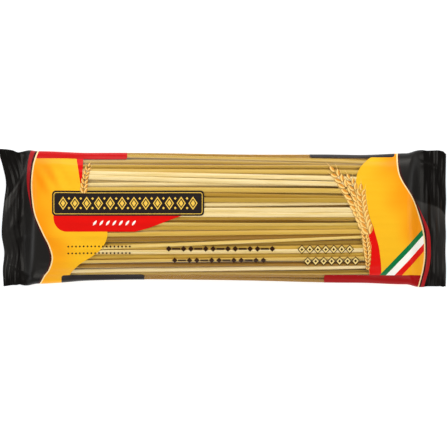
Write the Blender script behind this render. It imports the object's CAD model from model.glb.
# %% [markdown]
# # A film packet of linguine
# The real packet is one tube of thin plastic film. It is printed flat, wrapped round a bundle of
# pasta, joined along the back, and sealed flat at both ends. This lesson makes it the same way:
# the print is drawn on flat film, cut out as areas of ink and of clear window, and the flat film is
# then wrapped round the bundle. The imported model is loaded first, as everything is measured from it.

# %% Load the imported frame
import math
import random

import bmesh
import bpy
import numpy as np
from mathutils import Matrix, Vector
from mathutils.geometry import delaunay_2d_cdt
from mathutils.kdtree import KDTree


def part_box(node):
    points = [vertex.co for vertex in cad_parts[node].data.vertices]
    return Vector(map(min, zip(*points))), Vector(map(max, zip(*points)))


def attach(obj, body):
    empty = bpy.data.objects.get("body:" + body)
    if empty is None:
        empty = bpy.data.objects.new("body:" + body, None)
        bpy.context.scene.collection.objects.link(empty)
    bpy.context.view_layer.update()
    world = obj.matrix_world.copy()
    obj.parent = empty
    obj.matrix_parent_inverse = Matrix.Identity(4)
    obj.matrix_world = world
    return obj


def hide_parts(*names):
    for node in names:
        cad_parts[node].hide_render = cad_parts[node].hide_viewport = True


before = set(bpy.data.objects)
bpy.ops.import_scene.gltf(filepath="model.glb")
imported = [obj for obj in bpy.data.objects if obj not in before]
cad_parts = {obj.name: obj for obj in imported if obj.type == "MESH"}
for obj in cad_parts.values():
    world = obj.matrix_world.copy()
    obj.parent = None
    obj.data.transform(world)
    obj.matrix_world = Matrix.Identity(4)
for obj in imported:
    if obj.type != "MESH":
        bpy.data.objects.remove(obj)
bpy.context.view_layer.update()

MM = 0.001
pack_low, pack_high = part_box("packet")
PACK_LENGTH = (pack_high.x - pack_low.x) / MM
WAIST_HEIGHT = (pack_high.z - pack_low.z) / MM
print(f"packet: {PACK_LENGTH:.1f} mm long, {WAIST_HEIGHT:.1f} mm high")

# %% [markdown]
# ## Camera, floor and light
# The packet lies on its back and is seen straight from above. A camera a few metres away with a long
# lens gives that view almost without perspective, as a product photographer would set it up.
# Its frame is the photograph's: 447 pixels across, each covering two thirds of a millimetre. That
# scale holds at four fifths of the packet's height, where most of the print lies.

# %% Camera from above
PHOTO_PIXELS = 447
MM_PER_PIXEL = 0.6768
PACKET_CENTRE_PIXEL = (222.0, 217.7)
CAMERA_HEIGHT = 3.0
SENSOR_WIDTH = 36.0
SCALE_LEVEL = 0.8


def new_object(name, data):
    item = bpy.data.objects.new(name, data)
    bpy.context.collection.objects.link(item)
    return item


def add_camera():
    data = bpy.data.cameras.new("product_camera")
    data.sensor_width = SENSOR_WIDTH
    frame_width = PHOTO_PIXELS * MM_PER_PIXEL * MM
    data.lens = SENSOR_WIDTH * (CAMERA_HEIGHT - SCALE_LEVEL * WAIST_HEIGHT * MM) / frame_width
    data.clip_end = 50.0
    camera = new_object("product_camera", data)
    image_centre = PHOTO_PIXELS / 2
    aside = (image_centre - PACKET_CENTRE_PIXEL[0]) * MM_PER_PIXEL * MM
    along = (PACKET_CENTRE_PIXEL[1] - image_centre) * MM_PER_PIXEL * MM
    camera.location = (aside, along, CAMERA_HEIGHT)
    bpy.context.scene.camera = camera
    print(f"camera: {data.lens:.0f} mm lens, {CAMERA_HEIGHT} m up")


add_camera()

# %% [markdown]
# The floor is a light table, a white sheet with a faint cool glow, which keeps shadows pale. The
# light is a white studio: an even, dim, slightly warm surround, so that black film stays black, and
# four soft boxes. The long ones behind and in front draw a line of light along each strand that
# faces them, and the two at the sides light the sealed ends. The view transform is Standard, so that
# print colours stay true.

# %% Floor and soft boxes
FLOOR_SIZE = 12.0
TABLE_WHITE = (0.5, 0.5, 0.5)
COOL_GLOW = (0.93, 0.96, 1.0)
GLOW_STRENGTH = 0.78
WARM_WHITE = (1.0, 0.965, 0.90)
SURROUND_STRENGTH = 0.38
SOFT_BOXES = [
    # name, place, size, watts
    ("back_box", (0.0, 1.0, 0.6), (1.6, 0.3), 10.4),
    ("front_box", (0.0, -1.0, 0.6), (1.6, 0.3), 6.5),
    ("left_box", (-1.0, 0.2, 0.7), (0.3, 0.8), 3.0),
    ("right_box", (1.0, 0.1, 0.6), (0.3, 0.8), 2.2),
]


def set_inputs(node, inputs):
    """Sets a node's own inputs by name, with _ for each space: Base_Color sets Base Color."""
    for label, value in inputs.items():
        node.inputs[label.replace("_", " ")].default_value = value


def new_material(name, **inputs):
    """A material and its shader, with these values on the shader."""
    material = bpy.data.materials.new(name)
    material.use_nodes = True
    shader = material.node_tree.nodes["Principled BSDF"]
    set_inputs(shader, inputs)
    return material, shader


def add_floor():
    half = FLOOR_SIZE / 2
    mesh = bpy.data.meshes.new("floor")
    corners = [(-half, -half, 0), (half, -half, 0), (half, half, 0), (-half, half, 0)]
    mesh.from_pydata(corners, [], [(0, 1, 2, 3)])
    material, shader = new_material("light_table", Base_Color=(*TABLE_WHITE, 1.0), Roughness=0.9)
    shader.inputs["Emission Color"].default_value = (*COOL_GLOW, 1.0)
    shader.inputs["Emission Strength"].default_value = GLOW_STRENGTH
    mesh.materials.append(material)
    new_object("floor", mesh)


def add_soft_box(name, place, size, watts):
    data = bpy.data.lights.new(name, "AREA")
    data.color = WARM_WHITE
    data.shape = "RECTANGLE"
    data.size, data.size_y = size
    data.energy = watts
    box = new_object(name, data)
    box.location = place
    box.rotation_mode = "QUATERNION"
    box.rotation_quaternion = (-Vector(place)).to_track_quat("-Z", "Y")
    box.visible_camera = False


def set_surround():
    world = bpy.data.worlds.new("studio")
    world.use_nodes = True
    surround = world.node_tree.nodes["Background"]
    surround.inputs["Color"].default_value = (*WARM_WHITE, 1.0)
    surround.inputs["Strength"].default_value = SURROUND_STRENGTH
    bpy.context.scene.world = world


add_floor()
set_surround()
for soft_box in SOFT_BOXES:
    add_soft_box(*soft_box)
bpy.context.scene.view_settings.view_transform = "Standard"
print("floor and", len(SOFT_BOXES), "soft boxes")

# %% [markdown]
# ## The form of the wrapped film
# Film doesn't stretch, so its distance round the packet is the same everywhere. Over the pasta that
# girth is an oval, and towards the ends it closes to a flat, wider seal. The oval is a superellipse:
# a circle's formula with another power, which gives the flat back and the rounder front. The same
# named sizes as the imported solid's give the same form here.

# %% Sizes of the wrapped film
FLAT_WIDTH = 94.0
GIRTH = 2 * FLAT_WIDTH
SHOULDER_HEIGHT = 23.5
BUNDLE_HALF = 128.0
SEAL_WIDTH = 13.0
SEAL_LEVEL = 8.0
SEAL_THICKNESS = 0.4
REST_SINK = 1.2
ROUNDING_LOSS = 0.0115
WIDEST_LEVEL = 0.45
# powers of the oval: over the pasta, and where it flares before the seals
FRONT_POWERS = (2.25, 1.95)
BACK_POWERS = (3.0, 2.4)
SEAL_POWER = 6.0
PACK_HALF = PACK_LENGTH / 2
SEAL_START = PACK_HALF - SEAL_WIDTH
CLOSING_START = BUNDLE_HALF - 3.0
FLARE_START = 92.0
FLARE = 1.3
OUTLINE_DIPS = [
    # x, side, depth, reach
    (-137.5, 1, 2.4, 6.0),
    (-45.0, 1, -1.2, 60.0),
    (118.0, 1, 1.3, 38.0),
    (153.5, 1, 3.0, 3.2),
    (-140.0, -1, 1.2, 10.0),
    (-60.0, -1, 0.9, 45.0),
    (75.0, -1, -0.8, 45.0),
]
LEFT_EDGE_INSET = [4, 3.4, 4.3, 2.6, 3.2, 4.4, 5.6, 3.2, 0]
RIGHT_EDGE_INSET = [0.3, 0.1, 0.5, 0.2, 0.5, 0.1, 0.4, 0.2, 0]
print(f"girth: {GIRTH:.0f} mm, seals: {SEAL_WIDTH:.0f} mm wide")

# %% [markdown]
# The section changes along the packet: full over the pasta, lower at the shoulders, a little wider
# just before the seals, and flat in them. It could be a loft through a few drawn sections, but then
# every size would be hidden in points. Here each size is a smooth function of x, so that a section
# can be asked for at any place.

# %% The section of the packet at any place
def ease(value, low, high):
    share = np.clip((value - low) / (high - low), 0.0, 1.0)
    return share * share * (3 - 2 * share)


def mix(start, end, share):
    return start + (end - start) * share


def closing(x):
    return ease(np.abs(x), CLOSING_START, SEAL_START)


def flaring(x):
    return ease(np.abs(x), FLARE_START, CLOSING_START)


def film_height(x):
    swell = np.cos(np.pi / 2 * np.minimum(1, np.abs(x) / BUNDLE_HALF)) ** 2
    return mix(mix(SHOULDER_HEIGHT, WAIST_HEIGHT, swell), SEAL_THICKNESS, closing(x))


def half_width(x, side):
    flare = FLARE * flaring(x) * (1 - closing(x))
    width = (FLAT_WIDTH - ROUNDING_LOSS * film_height(x) ** 2) / 2 + flare
    for dip_x, dip_side, depth, reach in OUTLINE_DIPS:
        if dip_side == side:
            width -= depth * np.exp(-(((x - dip_x) / reach) ** 2))
    return width


def film_section(x, steps=1600):
    """The film's closed outline across the packet at x: y, z, and the share of the girth at each point."""
    shut = closing(x)
    height = film_height(x)
    bottom = mix(-REST_SINK, SEAL_LEVEL - height / 2, shut)
    top = mix(height, SEAL_LEVEL + height / 2, shut)
    widest = mix(bottom, top, mix(WIDEST_LEVEL, 0.5, shut))
    front_power = mix(mix(*FRONT_POWERS, flaring(x)), SEAL_POWER, shut)
    back_power = mix(mix(*BACK_POWERS, flaring(x)), SEAL_POWER, shut)
    angle = np.linspace(-np.pi / 2, 1.5 * np.pi, steps + 1)
    across, up = np.cos(angle), np.sin(angle)
    power = np.where(up > 0, 2 / front_power, 2 / back_power)
    reach = np.where(up > 0, top - widest, bottom - widest)
    width = np.where(across < 0, half_width(x, -1), half_width(x, 1))
    y = np.sign(across) * width * np.abs(across) ** power
    z = widest + reach * np.abs(up) ** power
    walked = np.concatenate([[0.0], np.cumsum(np.hypot(np.diff(y), np.diff(z)))])
    return y, z, walked / walked[-1]


middle_y, middle_z, _ = film_section(0.0)
print(f"section at the middle: {np.ptp(middle_y):.1f} by {np.ptp(middle_z):.1f} mm")

# %% [markdown]
# Flat film has two coordinates: x along the packet, and s round it, from 0 on the front's middle line
# to 94 either way at the seam on the back. A table of the form for every half millimetre turns a flat
# point into a wrapped one by looking up its four neighbours, for thousands of points at once.

# %% A table that wraps flat film
TABLE_STEP = 0.5
table_x = np.linspace(-PACK_HALF, PACK_HALF, int(PACK_LENGTH / TABLE_STEP) + 1)
table_s = np.linspace(-FLAT_WIDTH, FLAT_WIDTH, int(GIRTH / TABLE_STEP) + 1)


def front_middle(x, y, share):
    """The share of the girth at which the front's middle line crosses the section at x."""
    front = slice(len(y) // 4, 3 * len(y) // 4)
    middle = np.interp(0.0, -y[front], share[front])
    return mix(middle, 0.5, closing(x))


def build_wrap_table():
    """For every table x and s: y, z, and the outward direction's y and z."""
    table = np.zeros((len(table_x), len(table_s), 4))
    for row, x in enumerate(table_x):
        y, z, share = film_section(x)
        shares = front_middle(x, y, share) - table_s / GIRTH
        table[row, :, 0] = np.interp(shares, share, y, period=1.0)
        table[row, :, 1] = np.interp(shares, share, z, period=1.0)
    along_y = np.gradient(table[:, :, 0], axis=1)
    along_z = np.gradient(table[:, :, 1], axis=1)
    length = np.maximum(np.hypot(along_y, along_z), 1e-9)
    table[:, :, 2] = -along_z / length
    table[:, :, 3] = along_y / length
    return table


wrap_table = build_wrap_table()


def look_up(x, s):
    """The table's values at each x and s, mixed from the four nearest entries."""
    row = np.clip((x - table_x[0]) / (table_x[1] - table_x[0]), 0, len(table_x) - 1.001)
    column = np.clip((s - table_s[0]) / (table_s[1] - table_s[0]), 0, len(table_s) - 1.001)
    low_row, low_column = row.astype(int), column.astype(int)
    row_share = (row - low_row)[:, None]
    column_share = (column - low_column)[:, None]
    near = mix(wrap_table[low_row, low_column], wrap_table[low_row, low_column + 1], column_share)
    far = mix(wrap_table[low_row + 1, low_column], wrap_table[low_row + 1, low_column + 1], column_share)
    return mix(near, far, row_share)


print("wrap table:", wrap_table.shape)

# %% [markdown]
# The sealed ends aren't straight. Their cut edges wave a little, because the film lies in ripples
# there. A ripple could be modelled by hand, point by point. A smooth curve through a few inset values
# that pulls the cut edge in, and one long wave that lifts and lowers the seal, are easier to change.

# %% The cut edges and the ripple of the seals
# each ripple has a height, a reach and a shift
LEFT_RIPPLE = (1.5, 9.5, 0.6)
RIGHT_RIPPLE = (0.8, 13.0, -0.4)


def smooth_through(values, share):
    """A smooth curve through evenly spaced values, read at shares from 0 to 1."""
    padded = np.array([values[0], *values, values[-1]], float)
    place = np.clip(share, 0, 1) * (len(values) - 1)
    first = np.minimum(place.astype(int), len(values) - 2)
    t = place - first
    a, b, c, d = (padded[first + i] for i in range(4))
    return b + 0.5 * t * (c - a + t * (2 * a - 5 * b + 4 * c - d + t * (3 * (b - c) + d - a)))


def edge_shift(x, y):
    share = 0.5 + y / FLAT_WIDTH
    left = smooth_through(LEFT_EDGE_INSET, share)
    right = smooth_through(RIGHT_EDGE_INSET, share)
    inset = np.where(x < 0, left, right)
    return -np.sign(x) * inset * ease(np.abs(x), BUNDLE_HALF, PACK_HALF)


def seal_ripple(x, y):
    sides = zip(LEFT_RIPPLE, RIGHT_RIPPLE)
    height, reach, shift = (np.where(x < 0, left, right) for left, right in sides)
    return height * np.sin(y / reach + shift) * ease(np.abs(x), BUNDLE_HALF, PACK_HALF)


print("left cut edge pulled in by up to", max(LEFT_EDGE_INSET), "mm")

# %% [markdown]
# The heat seal crimps the film into ribs along the cut edge, which wander and fade, and creases run
# from there to the corners of the bundle. Front and back are one sheet there and move together. They
# could be sculpted, but as sums of waves and ridges they reach every point of the film at once. Each
# crease is a ridge along a line, with one soft side and one steep side, as folded film has.

# %% Crimps and creases at the ends
CRIMPS = [
    # distance between ribs, height, wander, reach of the wander, reach of the fading, shift
    (2.6, 0.20, 1.1, 9.5, 7.0, 0.0),
    (4.3, 0.30, 1.9, 8.2, 9.3, 1.7),
    (7.9, 0.34, 2.8, 6.9, 11.6, 3.4),
]
RIGHT_SHIFT = 2.1
RIGHT_WANDER = 0.4
RIGHT_STRENGTH = 1.1
CREASES = [
    # from x, from y, to x, to y, height, half width of the soft side
    (-129.0, 38.0, -148.0, 14.0, 1.3, 6.0),
    (-128.0, -10.0, -146.0, -17.0, 0.6, 5.0),
    (-129.0, -40.0, -149.0, -31.0, 0.8, 5.0),
    (-139.0, 22.0, -151.0, 1.0, 0.8, 3.0),
    (-136.0, 2.0, -150.0, -12.0, 0.6, 3.0),
    (130.0, 39.0, 150.0, 33.0, 0.7, 3.5),
    (140.0, -34.0, 152.0, -43.0, 0.5, 3.0),
]
STEEP_SIDE = 1.2


def crimp_lift(x, y):
    """Ribs along the cut edge. At the right end they run straighter and fade less."""
    left = x < 0
    inwards = PACK_HALF - np.abs(x)
    lift = np.zeros(np.shape(x))
    for distance, height, wander, wander_reach, fading_reach, shift in CRIMPS:
        shift = shift + np.where(left, 0.0, RIGHT_SHIFT)
        wander = np.where(left, wander, RIGHT_WANDER * wander)
        path = inwards + wander * np.sin(y / wander_reach + shift)
        fading = np.sin(y / fading_reach + 2.0 * shift)
        fading = np.where(left, 0.5 + 0.5 * fading, 0.8 + 0.2 * fading)
        lift += height * fading * np.sin(2 * np.pi * path / distance)
    strength = np.where(left, 1.0, RIGHT_STRENGTH)
    return lift * strength * (1 - ease(inwards, SEAL_WIDTH - 3, SEAL_WIDTH + 8))


def crease_lift(x, y):
    lift = np.zeros(np.shape(x))
    for x1, y1, x2, y2, height, soft_side in CREASES:
        run_x, run_y = x2 - x1, y2 - y1
        length = math.hypot(run_x, run_y)
        along = ((x - x1) * run_x + (y - y1) * run_y) / length**2
        beside = ((x - x1) * run_y - (y - y1) * run_x) / length
        slope = np.where(beside > 0, beside / soft_side, -beside / STEEP_SIDE)
        fade = ease(along, -0.2, 0.25) * (1 - ease(along, 0.8, 1.1))
        lift += height * fade * np.exp(-(slope**1.5))
    return lift


print(len(CRIMPS), "waves of ribs and", len(CREASES), "creases")

# %% [markdown]
# Wrapping puts these together. The table gives a point's place and its outward direction, the point
# moves outwards by its own lift, and the ripples, ribs and creases move it up or down. Film can't
# sink into the floor, and the front of a seal stays one layer above its back.

# %% Wrap flat film
FILM_REST = 0.3
SEAL_LAYER = 0.25


def wrap(x, s, lift):
    """Flat film points, each lifted outwards by lift, as wrapped points in millimetres."""
    y, z, out_y, out_z = look_up(x, s).T
    y = y + out_y * lift
    z = z + seal_ripple(x, y) + crimp_lift(x, y) + crease_lift(x, y)
    lowest = FILM_REST + SEAL_LAYER * ease(FLAT_WIDTH / 2 - np.abs(s), 0.0, 1.5)
    z = np.maximum(lowest, z) + out_z * lift
    return np.stack([x + edge_shift(x, y), y, z], axis=1)


print("middle of the front, in mm:", wrap(np.zeros(1), np.zeros(1), 0.0)[0].round(2).tolist())

# %% [markdown]
# ## The linguine
# About three hundred strands lie in the packet. They could be a plain array, but real strands lie a
# little askew, rolled and crossed, and the film shows every one. So their paths are laid in shells
# under the film, like the skins of an onion. In the outer shell they lie closer than they are wide,
# and many lie partly under their neighbours, so that no dark gap shows. Some are pale, and those at
# the packet's side folds are darker. The seed is one that puts pale strands about where the real
# packet shows them.

# %% Lay the paths of the strands
STRAND_WIDTH = 3.4
STRAND_THICKNESS = 1.6
STRAND_HALF_LENGTH = 124.5
CLEARANCE = 0.15
SHELLS = 6
SHELL_STEP = 1.75
FIRST_SHELL_DEPTH = 1.5
STRAND_PITCH = 3.33
OUTER_PITCH = 2.95
PLACE_SPREAD = 0.2
SINK_SPREAD = 0.2
DEPTH_SPREAD = 0.25
GIRTH_LOSS = 1.6 * math.pi
UNDER_SHARE = 0.62
UNDER_DEPTH = 0.85
UNDER_ROLL = 0.5
EDGE_ON_SHARE = 0.16
EDGE_ON_DEGREES = (45, 80)
ROLL_SPREAD = math.radians(22)
GATHER = 1.7
LEAN_SPREAD = 1.5
BOW_SPREAD = 0.5
END_DIP = 0.8
PALE_SHARE = 0.18
PALE_TINT = 0.92
USUAL_TINT, TINT_SPREAD = 0.40, 0.32
LOWER_FOLD_SHADE, UPPER_FOLD_SHADE = 1.3, 0.6
OUTER_STATIONS = 20
INNER_STATIONS = 8
strand_draw = random.Random(5910)


def strand_crown(roll):
    """The highest point of a rolled oval strand: how far aside of its middle, and how far up."""
    up = math.hypot(STRAND_WIDTH / 2 * math.sin(roll), STRAND_THICKNESS / 2 * math.cos(roll))
    aside = (STRAND_WIDTH**2 - STRAND_THICKNESS**2) / 4 * math.sin(roll) * math.cos(roll) / up
    return aside, up


def fold_shade(s):
    """How much darker a strand is at the side folds."""
    near_fold = float(ease(abs(s), 36, 45) - ease(abs(s), 49, 60))
    return near_fold * (LOWER_FOLD_SHADE if s < 0 else UPPER_FOLD_SHADE)


def lay_shell(shell):
    """One shell's strands: place round the film, lean and bow along it, depth, roll, tint and ends."""
    outer = shell == 0
    depth = FIRST_SHELL_DEPTH + shell * SHELL_STEP
    count = round((GIRTH - GIRTH_LOSS * depth) / (OUTER_PITCH if outer else STRAND_PITCH))
    start = strand_draw.random()
    under = False
    laid = []
    for i in range(count):
        under = outer and not under and strand_draw.random() < UNDER_SHARE
        edge_on = outer and strand_draw.random() < EDGE_ON_SHARE
        roll = strand_draw.gauss(0, ROLL_SPREAD)
        roll += math.radians(strand_draw.uniform(*EDGE_ON_DEGREES)) if edge_on else 0.0
        roll *= UNDER_ROLL if under else 1.0
        crown = strand_crown(roll)
        sink = abs(strand_draw.gauss(0, SINK_SPREAD)) + (UNDER_DEPTH if under else 0)
        place = i + start + strand_draw.uniform(-PLACE_SPREAD, PLACE_SPREAD)
        s = (place / count - 0.5) * GIRTH
        gather = -GATHER * math.sin(math.pi * s / (FLAT_WIDTH / 2))
        pale = strand_draw.random() < PALE_SHARE
        tint = PALE_TINT if pale else strand_draw.gauss(USUAL_TINT, TINT_SPREAD)
        lean = gather + strand_draw.gauss(0, LEAN_SPREAD)
        bow = strand_draw.gauss(0, BOW_SPREAD)
        if outer:
            own_depth = CLEARANCE + crown[1] + sink
        else:
            own_depth = depth + strand_draw.uniform(-DEPTH_SPREAD, DEPTH_SPREAD)
        laid.append({
            "shell": shell,
            "s": s,
            "lean": lean,
            "bow": bow,
            "depth": own_depth,
            "roll": roll,
            "tint": tint - fold_shade(s),
            "low_end": -STRAND_HALF_LENGTH + strand_draw.uniform(-1.0, 2.0),
            "high_end": STRAND_HALF_LENGTH + strand_draw.uniform(-2.0, 1.0),
            "crown": crown,
        })
    return laid


strands = [strand for shell in range(SHELLS) for strand in lay_shell(shell)]
print(len(strands), "strands in", SHELLS, "shells")


# %% [markdown]
# A strand's path lies in the film's section at its own depth. Near its ends the film closes, so paths
# there follow the form where the closing starts. A path is a chain of a few points, as a strand is
# nearly straight, and its roll and its tint are kept on the points for the nodes and the material.

# %% Turn the paths into points
def strand_s(strand, x):
    """Where a strand lies round the film at x: it leans and bows a little along its length."""
    along = x / BUNDLE_HALF
    return strand["s"] + strand["lean"] * along + strand["bow"] * (1 - along**2)


def strand_points(strand):
    stations = OUTER_STATIONS if strand["shell"] == 0 else INNER_STATIONS
    x = np.linspace(strand["low_end"], strand["high_end"], stations)
    s = (strand_s(strand, x) + FLAT_WIDTH) % GIRTH - FLAT_WIDTH
    held = np.clip(x, -CLOSING_START + 1, CLOSING_START - 1)
    y, z, out_y, out_z = look_up(held, s).T
    z = np.maximum(z, FILM_REST)
    depth = strand["depth"] + END_DIP * ease(np.abs(x), 100, 124)
    points = np.stack([x, y - out_y * depth, z - out_z * depth], axis=1)
    slope = np.arctan2(-out_y, out_z)
    return points, slope


def strand_paths_mesh():
    """Every strand's path as a chain of edges, with its turn and tint kept on the points."""
    mesh = bpy.data.meshes.new("strand_paths")
    points, edges, turns, tints = [], [], [], []
    for strand in strands:
        path, slope = strand_points(strand)
        first = len(points)
        points.extend(path * MM)
        edges.extend((first + i, first + i + 1) for i in range(len(path) - 1))
        turns.extend(slope + strand["roll"])
        tints.extend([strand["tint"]] * len(path))
    mesh.from_pydata([tuple(p) for p in points], edges, [])
    mesh.attributes.new("turn", "FLOAT", "POINT").data.foreach_set("value", turns)
    mesh.attributes.new("tint", "FLOAT", "POINT").data.foreach_set("value", tints)
    return mesh


strand_paths = strand_paths_mesh()
print("strand paths:", len(strand_paths.vertices), "points")

# %% [markdown]
# A material is a tree of small nodes. They could be placed one by one, but the pasta and the film need
# the same few kinds, so each kind has a helper that makes it and sets its inputs.

# %% Helpers for materials
def add_node(tree, kind, **inputs):
    node = tree.nodes.new(kind)
    set_inputs(node, inputs)
    return node


def read_attribute(tree, name):
    node = tree.nodes.new("ShaderNodeAttribute")
    node.attribute_name = name
    return node


def multiply_add(tree, value, factor):
    """A node for value times factor, plus what its third input holds."""
    node = tree.nodes.new("ShaderNodeMath")
    node.operation = "MULTIPLY_ADD"
    tree.links.new(value, node.inputs[0])
    node.inputs[1].default_value = factor
    return node


def ramp(tree, stops):
    node = tree.nodes.new("ShaderNodeValToRGB")
    while len(node.color_ramp.elements) < len(stops):
        node.color_ramp.elements.new(0.5)
    for element, (place, colour) in zip(node.color_ramp.elements, stops):
        element.position = place
        element.color = (*colour, 1.0)
    return node


def add_bump(tree, shader, height, strength, distance):
    bump = add_node(tree, "ShaderNodeBump", Strength=strength, Distance=distance)
    tree.links.new(height, bump.inputs["Height"])
    tree.links.new(bump.outputs["Normal"], shader.inputs["Normal"])


# %% [markdown]
# Dry pasta is golden, with lighter and deeper strands, faint streaks along its length from the die,
# and a satin skin. A photograph of pasta could give that, but noise stretched along the strands needs
# no image and never repeats. It reads Object coordinates, squeezed along X, because every strand runs
# that way. Each strand's own tint then moves it along a range of golds.

# %% The dry pasta material
STREAK_SQUEEZE = (6.0, 260.0, 260.0)
STREAK_SHARE = 0.4
TINT_SHARE = 0.85
DARKENING = -0.1
GOLDS = [
    (0.0, (0.34, 0.17, 0.010)),
    (0.2, (0.44, 0.245, 0.018)),
    (0.38, (0.50, 0.315, 0.035)),
    (0.55, (0.64, 0.40, 0.055)),
    (0.76, (0.74, 0.53, 0.13)),
    (1.0, (1.0, 0.85, 0.52)),
]


def pasta_material():
    material, shader = new_material("dry_pasta", Roughness=0.38, Specular_IOR_Level=0.28)
    tree = material.node_tree
    place = tree.nodes.new("ShaderNodeTexCoord")
    squeeze = add_node(tree, "ShaderNodeMapping", Scale=STREAK_SQUEEZE)
    tree.links.new(place.outputs["Object"], squeeze.inputs["Vector"])
    streak = add_node(tree, "ShaderNodeTexNoise", Scale=3.0, Detail=4.0, Roughness=0.55)
    tree.links.new(squeeze.outputs["Vector"], streak.inputs["Vector"])
    faint_streak = multiply_add(tree, streak.outputs["Fac"], STREAK_SHARE)
    faint_streak.inputs[2].default_value = DARKENING
    depth_of_gold = multiply_add(tree, read_attribute(tree, "tint").outputs["Fac"], TINT_SHARE)
    tree.links.new(faint_streak.outputs[0], depth_of_gold.inputs[2])
    golds = ramp(tree, GOLDS)
    tree.links.new(depth_of_gold.outputs[0], golds.inputs["Fac"])
    tree.links.new(golds.outputs["Color"], shader.inputs["Base Color"])
    add_bump(tree, shader, streak.outputs["Fac"], 0.25, 0.0002)
    return material


dry_pasta = pasta_material()
print("pasta material:", len(dry_pasta.node_tree.nodes), "nodes")

# %% [markdown]
# Linguine is pressed through a die with oval holes, and the nodes do much the same. Every path becomes
# a curve, is turned by its own roll, and has one oval swept along it with closed ends. Its two
# measures are inputs of the node group, so that another cut of pasta needs only other numbers.

# %% Sweep a section along the paths
SWEEP_INPUTS = [("Strand width", "Float"), ("Strand thickness", "Float"), ("Sides", "Int")]
STRAND_SIDES = 12


def sweep_tree(material):
    """Edges in, strands out, with the identifiers of the group's inputs."""
    tree = bpy.data.node_groups.new("sweep_strands", "GeometryNodeTree")
    face = tree.interface
    face.new_socket("Geometry", in_out="INPUT", socket_type="NodeSocketGeometry")
    identifiers = [
        face.new_socket(name, in_out="INPUT", socket_type="NodeSocket" + kind).identifier
        for name, kind in SWEEP_INPUTS
    ]
    face.new_socket("Geometry", in_out="OUTPUT", socket_type="NodeSocketGeometry")

    def link(source, output, target, target_input):
        tree.links.new(source.outputs[output], target.inputs[target_input])

    given = add_node(tree, "NodeGroupInput")
    curves = add_node(tree, "GeometryNodeMeshToCurve")
    upright = add_node(tree, "GeometryNodeSetCurveNormal")
    upright.mode = "Z_UP"
    turn = add_node(tree, "GeometryNodeInputNamedAttribute", Name="turn")
    turn.data_type = "FLOAT"
    turned = add_node(tree, "GeometryNodeSetCurveTilt")
    circle = add_node(tree, "GeometryNodeCurvePrimitiveCircle", Radius=0.5)
    stretch = add_node(tree, "ShaderNodeCombineXYZ", Z=1.0)
    oval = add_node(tree, "GeometryNodeTransform")
    sweep = add_node(tree, "GeometryNodeCurveToMesh", Fill_Caps=True)
    realize = add_node(tree, "GeometryNodeRealizeInstances")
    painted = add_node(tree, "GeometryNodeSetMaterial", Material=material)
    result = add_node(tree, "NodeGroupOutput")
    link(given, "Geometry", curves, "Mesh")
    link(curves, "Curve", upright, "Curve")
    link(upright, "Curve", turned, "Curve")
    link(turn, "Attribute", turned, "Tilt")
    link(given, "Sides", circle, "Resolution")
    link(given, "Strand width", stretch, "X")
    link(given, "Strand thickness", stretch, "Y")
    link(circle, "Curve", oval, "Geometry")
    link(stretch, "Vector", oval, "Scale")
    link(turned, "Curve", sweep, "Curve")
    link(oval, "Geometry", sweep, "Profile Curve")
    link(sweep, "Mesh", realize, "Geometry")
    link(realize, "Geometry", painted, "Geometry")
    link(painted, "Geometry", result, "Geometry")
    return tree, identifiers


# %% [markdown]
# The node tree runs as a modifier on the paths. The strands could stay live, but the export needs a
# plain mesh, so the result is copied out and the modifier goes with the paths. One piece holds all the
# strands, because they move as one.

# %% Bake the strands into one mesh
def bake_nodes(source_mesh, name, tree, values):
    """Runs a node tree on a mesh and returns the result as a plain object at the origin."""
    source = new_object(name + "_source", source_mesh)
    modifier = source.modifiers.new("nodes", "NODES")
    modifier.node_group = tree
    for identifier, value in values.items():
        modifier[identifier] = value
    bpy.context.view_layer.update()
    evaluated = source.evaluated_get(bpy.context.evaluated_depsgraph_get())
    mesh = bpy.data.meshes.new_from_object(evaluated)
    mesh.name = name
    bpy.data.objects.remove(source)
    return new_object(name, mesh)


def make_linguine():
    tree, sockets = sweep_tree(dry_pasta)
    values = [STRAND_WIDTH * MM, STRAND_THICKNESS * MM, STRAND_SIDES]
    piece = bake_nodes(strand_paths, "linguine", tree, dict(zip(sockets, values)))
    piece.data.polygons.foreach_set("use_smooth", [True] * len(piece.data.polygons))
    return piece


linguine = make_linguine()
linguine_triangles = sum(len(face.vertices) - 2 for face in linguine.data.polygons)
print("linguine:", linguine_triangles, "triangles")

# %% [markdown]
# ## How the film lies on the pasta
# The film is pulled tight, so it touches the crown of each outer strand and bridges the gaps between
# them in shallow valleys. A cloth simulation would find this too, slowly. Here it is worked out. At
# every film point all the nearby crowns count, each falling away in a shallow curve, and the highest
# counts by far the most, so that one rounded ridge runs into the next.

# %% The relief of the strands in the film
FILM_SPAN_RADIUS = 5.0
FILM_GAP = 0.1
SOFTENING = 0.17
DEEPEST_VALLEY = 0.6
STIFFNESS_OF_PRINT = 0.7
outer_strands = [strand for strand in strands if strand["shell"] == 0]


def strand_relief(x, s):
    """How far the film lies below its smooth form, as a negative lift."""
    total = np.full(len(x), math.exp(-DEEPEST_VALLEY / SOFTENING))
    for strand in outer_strands:
        away = (s - strand_s(strand, x) + FLAT_WIDTH) % GIRTH - FLAT_WIDTH
        aside, up = strand["crown"]
        crown = up - strand["depth"] + FILM_GAP
        total += np.exp((crown - (away - aside) ** 2 / (2 * FILM_SPAN_RADIUS)) / SOFTENING)
    stiffer = STIFFNESS_OF_PRINT * ease(np.abs(x), 86, 104)
    past_the_pasta = (1 - STIFFNESS_OF_PRINT) * ease(np.abs(x), BUNDLE_HALF - 12, BUNDLE_HALF)
    return SOFTENING * np.log(total) * (1 - stiffer - past_the_pasta)


print(len(outer_strands), "strands lie against the film")

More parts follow.
